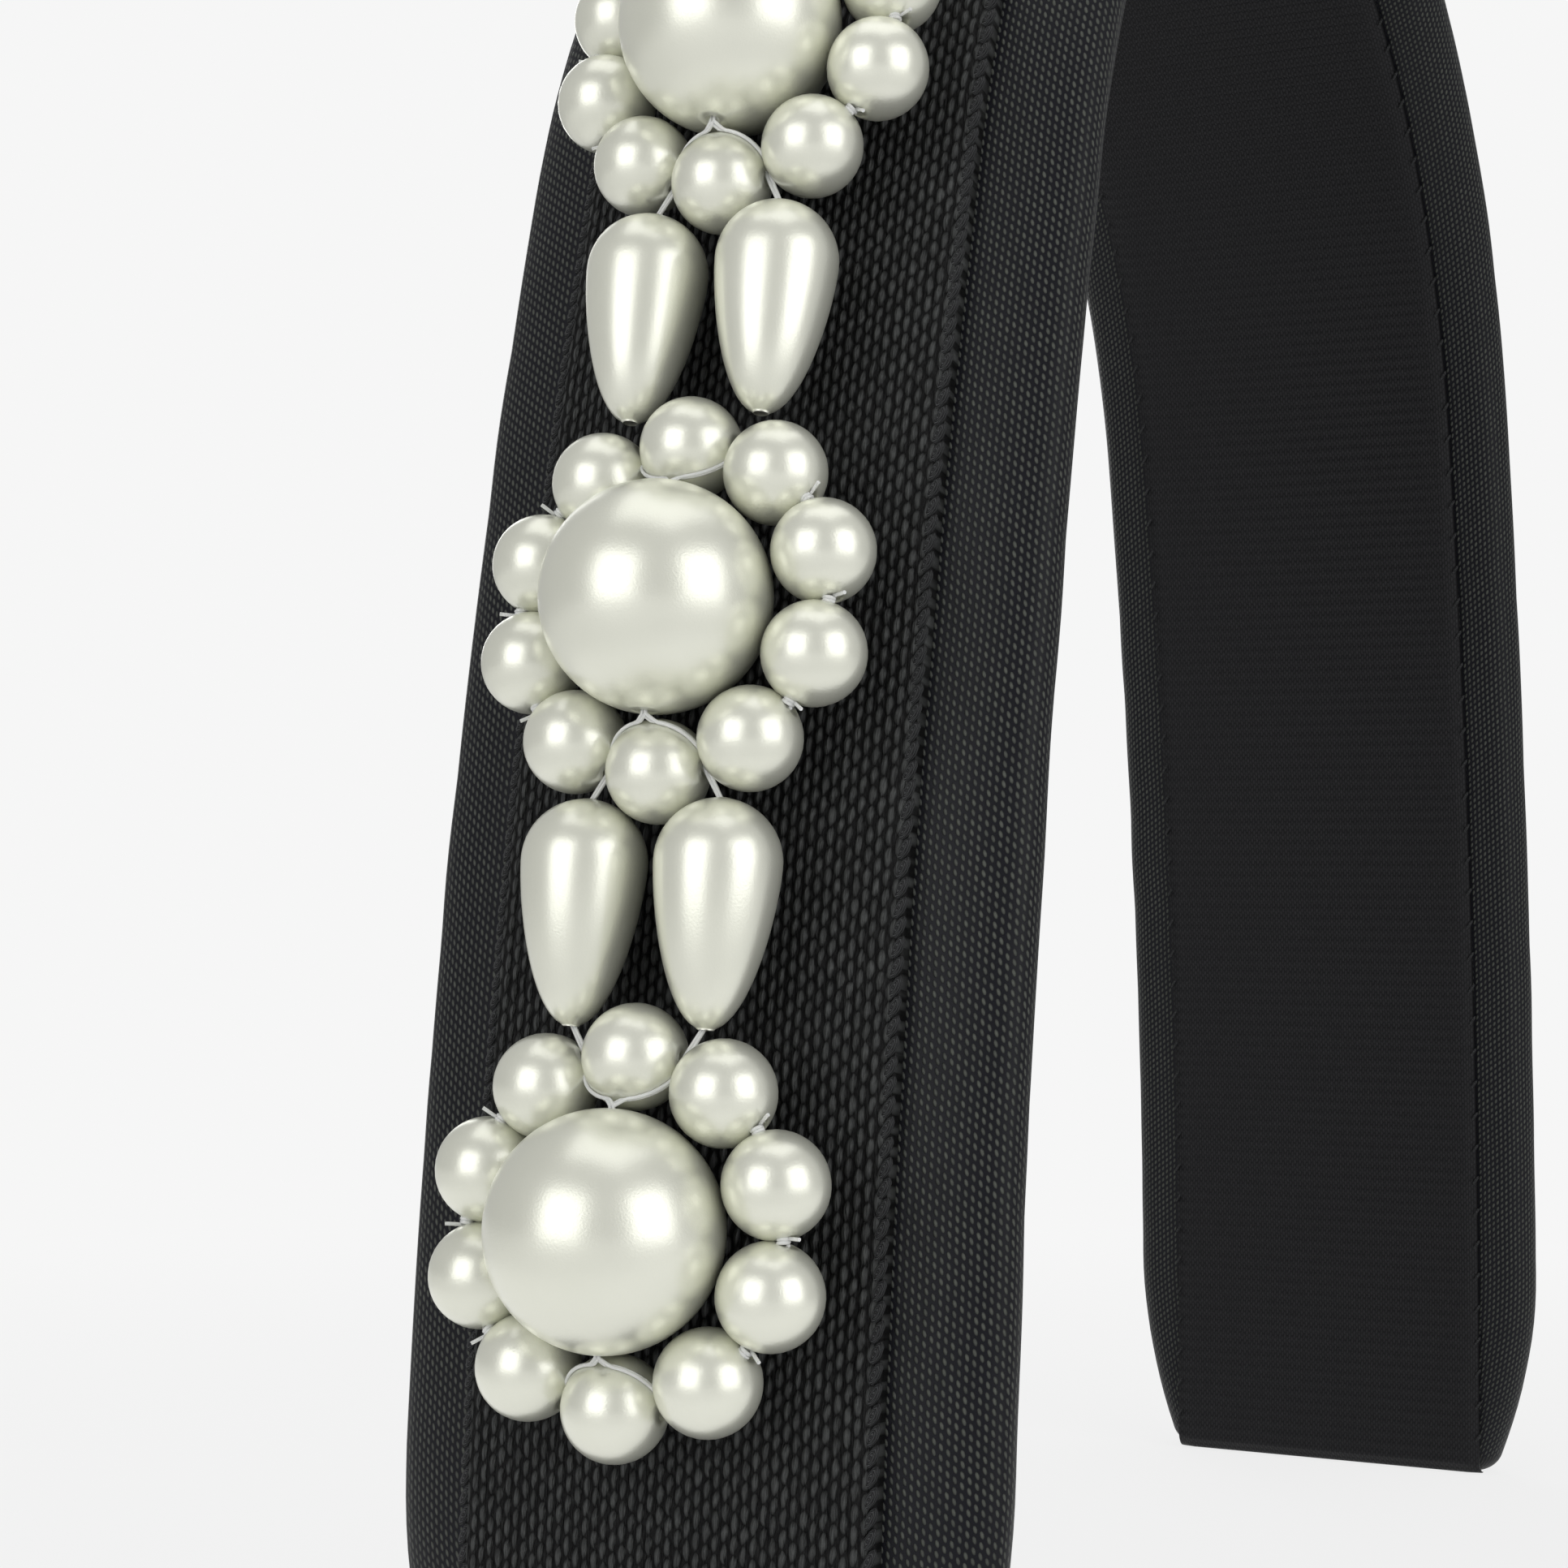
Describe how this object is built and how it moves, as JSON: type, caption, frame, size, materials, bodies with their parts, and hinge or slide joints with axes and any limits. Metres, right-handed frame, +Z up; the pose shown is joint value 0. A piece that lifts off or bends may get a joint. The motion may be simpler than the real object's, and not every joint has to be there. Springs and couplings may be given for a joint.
{
  "type": "headband",
  "caption": "Padded headband covered in nylon, with a webbing strip and a chain of pearl flowers sewn along the outside.",
  "frame": {"origin": "on the ground, midway between the two tips", "axes": "+X from ear to ear, +Y across the width of the band, +Z up towards the crown"},
  "size_m": [0.175, 0.0408, 0.1653],
  "materials": {
    "core_plastic": "satin",
    "foam": "matte",
    "nylon": "satin",
    "lining": "matte",
    "webbing": "matte",
    "pearl": "gloss"
  },
  "bodies": {
    "crown": {"core_crown": "core_plastic", "pad_crown": "foam", "cover_crown": "nylon", "lining_crown": "lining", "webbing_crown": "webbing", "ring_3": "pearl", "ring_4": "pearl", "ring_5": "pearl", "ring_6": "pearl", "ring_7": "pearl"},
    "left_leg": {"core_left": "core_plastic", "pad_left": "foam", "cover_left": "nylon", "lining_left": "lining", "webbing_left": "webbing", "tip_cap_left": "nylon", "ring_1": "pearl", "ring_2": "pearl"},
    "right_leg": {"core_right": "core_plastic", "pad_right": "foam", "cover_right": "nylon", "lining_right": "lining", "webbing_right": "webbing", "tip_cap_right": "nylon", "ring_8": "pearl", "ring_9": "pearl"},
    "pearl_1": {"pearl_1": "pearl"},
    "pearl_2": {"pearl_2": "pearl"},
    "pearl_3": {"pearl_3": "pearl"},
    "pearl_4": {"pearl_4": "pearl"},
    "pearl_5": {"pearl_5": "pearl"},
    "pearl_6": {"pearl_6": "pearl"},
    "pearl_7": {"pearl_7": "pearl"},
    "pearl_8": {"pearl_8": "pearl"},
    "pearl_9": {"pearl_9": "pearl"},
    "drop_1_a": {"drop_1_a": "pearl"},
    "drop_1_b": {"drop_1_b": "pearl"},
    "drop_2_a": {"drop_2_a": "pearl"},
    "drop_2_b": {"drop_2_b": "pearl"},
    "drop_3_a": {"drop_3_a": "pearl"},
    "drop_3_b": {"drop_3_b": "pearl"},
    "drop_4_a": {"drop_4_a": "pearl"},
    "drop_4_b": {"drop_4_b": "pearl"},
    "drop_5_a": {"drop_5_a": "pearl"},
    "drop_5_b": {"drop_5_b": "pearl"},
    "drop_6_a": {"drop_6_a": "pearl"},
    "drop_6_b": {"drop_6_b": "pearl"},
    "drop_7_a": {"drop_7_a": "pearl"},
    "drop_7_b": {"drop_7_b": "pearl"},
    "drop_8_a": {"drop_8_a": "pearl"},
    "drop_8_b": {"drop_8_b": "pearl"}
  },
  "joints": [
    {"name": "left_shoulder_flex", "type": "hinge", "parent": "crown", "child": "left_leg", "pos_m": [-0.07168, 0, 0.08082], "axis": [0, 1, 0], "range_deg": [0, 8], "stiffness_Nm_per_rad": 1.8},
    {"name": "right_shoulder_flex", "type": "hinge", "parent": "crown", "child": "right_leg", "pos_m": [0.07168, 0, 0.08082], "axis": [0, -1, 0], "range_deg": [0, 8], "stiffness_Nm_per_rad": 1.8},
    {"name": "pearl_1_spin", "type": "hinge", "parent": "left_leg", "child": "pearl_1", "pos_m": [-0.08054, 0, 0.03512], "axis": [0.0841, 0, 0.9965], "continuous": true},
    {"name": "pearl_2_spin", "type": "hinge", "parent": "left_leg", "child": "pearl_2", "pos_m": [-0.07576, 0, 0.07203], "axis": [0.1724, 0, 0.985], "continuous": true},
    {"name": "pearl_3_spin", "type": "hinge", "parent": "crown", "child": "pearl_3", "pos_m": [-0.06748, 0, 0.10895], "axis": [0.3028, 0, 0.9531], "continuous": true},
    {"name": "pearl_4_spin", "type": "hinge", "parent": "crown", "child": "pearl_4", "pos_m": [-0.0418, 0, 0.14465], "axis": [0.8071, 0, 0.5904], "continuous": true},
    {"name": "pearl_5_spin", "type": "hinge", "parent": "crown", "child": "pearl_5", "pos_m": [0, 0, 0.15831], "axis": [1, 0, 0], "continuous": true},
    {"name": "pearl_6_spin", "type": "hinge", "parent": "crown", "child": "pearl_6", "pos_m": [0.0418, 0, 0.14465], "axis": [0.8071, 0, -0.5904], "continuous": true},
    {"name": "pearl_7_spin", "type": "hinge", "parent": "crown", "child": "pearl_7", "pos_m": [0.06748, 0, 0.10895], "axis": [0.3028, 0, -0.9531], "continuous": true},
    {"name": "pearl_8_spin", "type": "hinge", "parent": "right_leg", "child": "pearl_8", "pos_m": [0.07576, 0, 0.07203], "axis": [0.1724, 0, -0.985], "continuous": true},
    {"name": "pearl_9_spin", "type": "hinge", "parent": "right_leg", "child": "pearl_9", "pos_m": [0.08054, 0, 0.03512], "axis": [0.0841, 0, -0.9965], "continuous": true},
    {"name": "drop_1_a_spin", "type": "hinge", "parent": "left_leg", "child": "drop_1_a", "pos_m": [-0.07626, -0.0045, 0.05333], "axis": [0.1284, 0, 0.9917], "continuous": true},
    {"name": "drop_1_b_spin", "type": "hinge", "parent": "left_leg", "child": "drop_1_b", "pos_m": [-0.07626, 0.0045, 0.05333], "axis": [0.1284, 0, 0.9917], "continuous": true},
    {"name": "drop_2_a_spin", "type": "hinge", "parent": "crown", "child": "drop_2_a", "pos_m": [-0.07001, -0.0045, 0.09009], "axis": [0.1913, 0, 0.9815], "continuous": true},
    {"name": "drop_2_b_spin", "type": "hinge", "parent": "crown", "child": "drop_2_b", "pos_m": [-0.07001, 0.0045, 0.09009], "axis": [0.1913, 0, 0.9815], "continuous": true},
    {"name": "drop_3_a_spin", "type": "hinge", "parent": "crown", "child": "drop_3_a", "pos_m": [-0.05556, -0.0045, 0.12746], "axis": [0.5838, 0, 0.8119], "continuous": true},
    {"name": "drop_3_b_spin", "type": "hinge", "parent": "crown", "child": "drop_3_b", "pos_m": [-0.05556, 0.0045, 0.12746], "axis": [0.5838, 0, 0.8119], "continuous": true},
    {"name": "drop_4_a_spin", "type": "hinge", "parent": "crown", "child": "drop_4_a", "pos_m": [-0.02125, -0.0045, 0.15256], "axis": [0.9506, 0, 0.3106], "continuous": true},
    {"name": "drop_4_b_spin", "type": "hinge", "parent": "crown", "child": "drop_4_b", "pos_m": [-0.02125, 0.0045, 0.15256], "axis": [0.9506, 0, 0.3106], "continuous": true},
    {"name": "drop_5_a_spin", "type": "hinge", "parent": "crown", "child": "drop_5_a", "pos_m": [0.02125, -0.0045, 0.15256], "axis": [0.9506, 0, -0.3106], "continuous": true},
    {"name": "drop_5_b_spin", "type": "hinge", "parent": "crown", "child": "drop_5_b", "pos_m": [0.02125, 0.0045, 0.15256], "axis": [0.9506, 0, -0.3106], "continuous": true},
    {"name": "drop_6_a_spin", "type": "hinge", "parent": "crown", "child": "drop_6_a", "pos_m": [0.05556, -0.0045, 0.12746], "axis": [0.5838, 0, -0.8119], "continuous": true},
    {"name": "drop_6_b_spin", "type": "hinge", "parent": "crown", "child": "drop_6_b", "pos_m": [0.05556, 0.0045, 0.12746], "axis": [0.5838, 0, -0.8119], "continuous": true},
    {"name": "drop_7_a_spin", "type": "hinge", "parent": "crown", "child": "drop_7_a", "pos_m": [0.07001, -0.0045, 0.09009], "axis": [0.1913, 0, -0.9815], "continuous": true},
    {"name": "drop_7_b_spin", "type": "hinge", "parent": "crown", "child": "drop_7_b", "pos_m": [0.07001, 0.0045, 0.09009], "axis": [0.1913, 0, -0.9815], "continuous": true},
    {"name": "drop_8_a_spin", "type": "hinge", "parent": "right_leg", "child": "drop_8_a", "pos_m": [0.07626, -0.0045, 0.05333], "axis": [0.1284, 0, -0.9917], "continuous": true},
    {"name": "drop_8_b_spin", "type": "hinge", "parent": "right_leg", "child": "drop_8_b", "pos_m": [0.07626, 0.0045, 0.05333], "axis": [0.1284, 0, -0.9917], "continuous": true}
  ]
}
